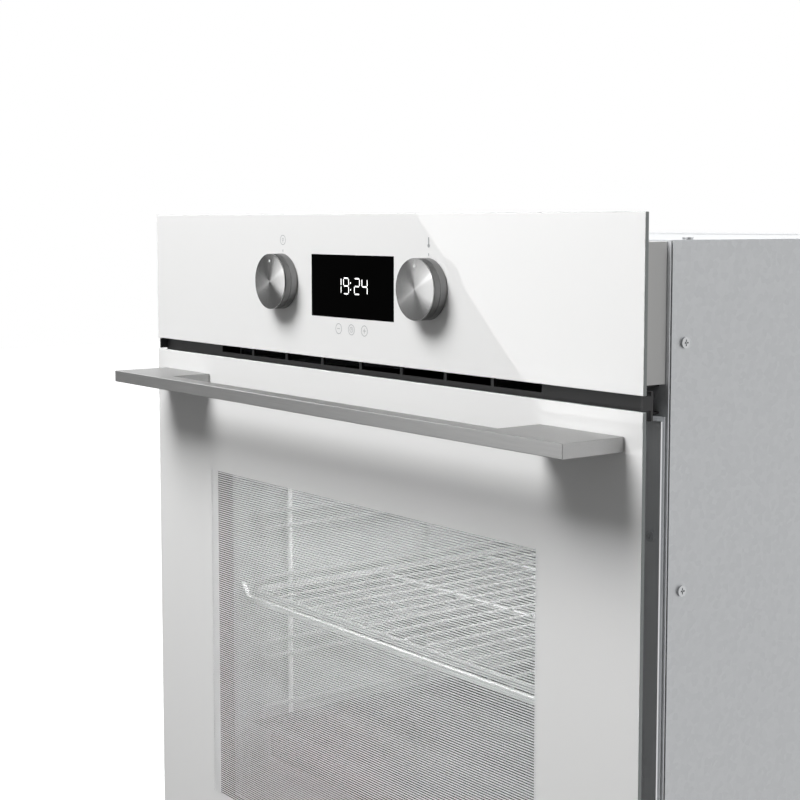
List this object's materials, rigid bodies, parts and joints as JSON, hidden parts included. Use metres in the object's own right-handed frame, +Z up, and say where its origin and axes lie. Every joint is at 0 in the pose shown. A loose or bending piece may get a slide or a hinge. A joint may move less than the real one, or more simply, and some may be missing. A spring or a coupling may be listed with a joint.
{
  "type": "wall oven",
  "caption": "Built-in electric wall oven with a white glass front, plate handle, drop-down door, turning knobs, wire shelf and tray.",
  "frame": {"origin": "centre of the footprint, handle included, level with the underside of the base pan", "axes": "+Z up, -Y out of the front towards the user, +X to the user's right"},
  "size_m": [0.595, 0.61, 0.595],
  "materials": {
    "white_glass": "white coated, glossy",
    "clear_glass": "clear float glass",
    "brushed_steel": "fine brushed",
    "white_plastic": "fine satin",
    "black_plastic": "fine satin",
    "grey_plastic": "fine satin",
    "circuit_board": "lacquered",
    "zinc_steel": "zinc coated sheet with a fine spangle",
    "aluminium": "satin anodised",
    "grey_enamel": "fired enamel, semi gloss",
    "black_enamel": "fired enamel, gloss",
    "chrome_wire": "bright plated wire",
    "heater_steel": "heat darkened",
    "silicone": "matt",
    "mineral_wool": "pressed fibre mat",
    "lamp_glass": "moulded clear glass"
  },
  "bodies": {
    "casing": {"control_glass": "white_glass", "fascia_carrier": "white_plastic", "display_module": "black_plastic", "touch_board": "grey_plastic", "control_board": "circuit_board", "function_switch": "black_plastic", "thermostat": "black_plastic", "vent_grille": "grey_plastic", "hinge_arm_left": "zinc_steel", "hinge_arm_right": "zinc_steel", "hinge_receiver_left": "zinc_steel", "hinge_receiver_right": "zinc_steel", "front_frame": "zinc_steel", "side_trim_left": "aluminium", "side_trim_right": "aluminium", "door_gasket": "silicone", "cavity_liner": "grey_enamel", "fan_cover": "grey_enamel", "ring_element": "heater_steel", "grill_element": "heater_steel", "lower_element": "heater_steel", "lamp_lens": "lamp_glass", "lamp_holder": "white_plastic", "fan_motor": "zinc_steel", "side_rack_left": "chrome_wire", "side_rack_right": "chrome_wire", "insulation_wrap": "mineral_wool", "air_duct": "zinc_steel", "blower_housing": "zinc_steel", "blower_motor": "zinc_steel", "base_pan": "zinc_steel", "outer_side_left": "zinc_steel", "outer_side_right": "zinc_steel", "outer_top_cover": "zinc_steel", "outer_back_panel": "zinc_steel", "terminal_box": "black_plastic"},
    "door": {"door_outer_glass": "white_glass", "door_middle_glass": "clear_glass", "door_inner_glass": "clear_glass", "door_side_profile_left": "aluminium", "door_side_profile_right": "aluminium", "glass_clip_left": "black_plastic", "glass_clip_right": "black_plastic", "door_top_rail": "aluminium", "door_bottom_rail": "aluminium", "door_handle": "brushed_steel", "hinge_cassette_left": "zinc_steel", "hinge_cassette_right": "zinc_steel", "hinge_pin_left": "zinc_steel", "hinge_pin_right": "zinc_steel"},
    "function_knob": {"function_knob_cap": "brushed_steel", "function_knob_ring": "brushed_steel", "function_knob_shaft": "zinc_steel"},
    "temperature_knob": {"temperature_knob_cap": "brushed_steel", "temperature_knob_ring": "brushed_steel", "temperature_knob_shaft": "zinc_steel"},
    "convection_fan_rotor": {"convection_fan": "aluminium"},
    "cooling_rotor": {"blower_wheel": "grey_plastic"},
    "shelf": {"wire_shelf": "chrome_wire"},
    "tray": {"baking_tray": "black_enamel"}
  },
  "joints": [
    {"name": "door_hinge", "type": "hinge", "parent": "casing", "child": "door", "pos_m": [0, -0.238, 0.03], "axis": [1, 0, 0], "range_deg": [0, 90], "stiffness_Nm_per_rad": 9, "springref_deg": -6.88},
    {"name": "function_knob_turn", "type": "hinge", "parent": "casing", "child": "function_knob", "pos_m": [-0.0923, -0.255, 0.543], "axis": [0, 1, 0], "continuous": true},
    {"name": "temperature_knob_turn", "type": "hinge", "parent": "casing", "child": "temperature_knob", "pos_m": [0.0923, -0.255, 0.543], "axis": [0, 1, 0], "range_deg": [0, 290]},
    {"name": "convection_fan_spin", "type": "hinge", "parent": "casing", "child": "convection_fan_rotor", "pos_m": [0, 0.2, 0.255], "axis": [0, 1, 0], "continuous": true},
    {"name": "cooling_fan_spin", "type": "hinge", "parent": "casing", "child": "cooling_rotor", "pos_m": [0, 0.15, 0.522], "axis": [1, 0, 0], "continuous": true},
    {"name": "wire_shelf_slide", "type": "slide", "parent": "casing", "child": "shelf", "axis": [0, -1, 0], "range_m": [-0.006, 0.01]},
    {"name": "baking_tray_slide", "type": "slide", "parent": "casing", "child": "tray", "axis": [0, -1, 0], "range_m": [-0.02, 0.013]}
  ]
}
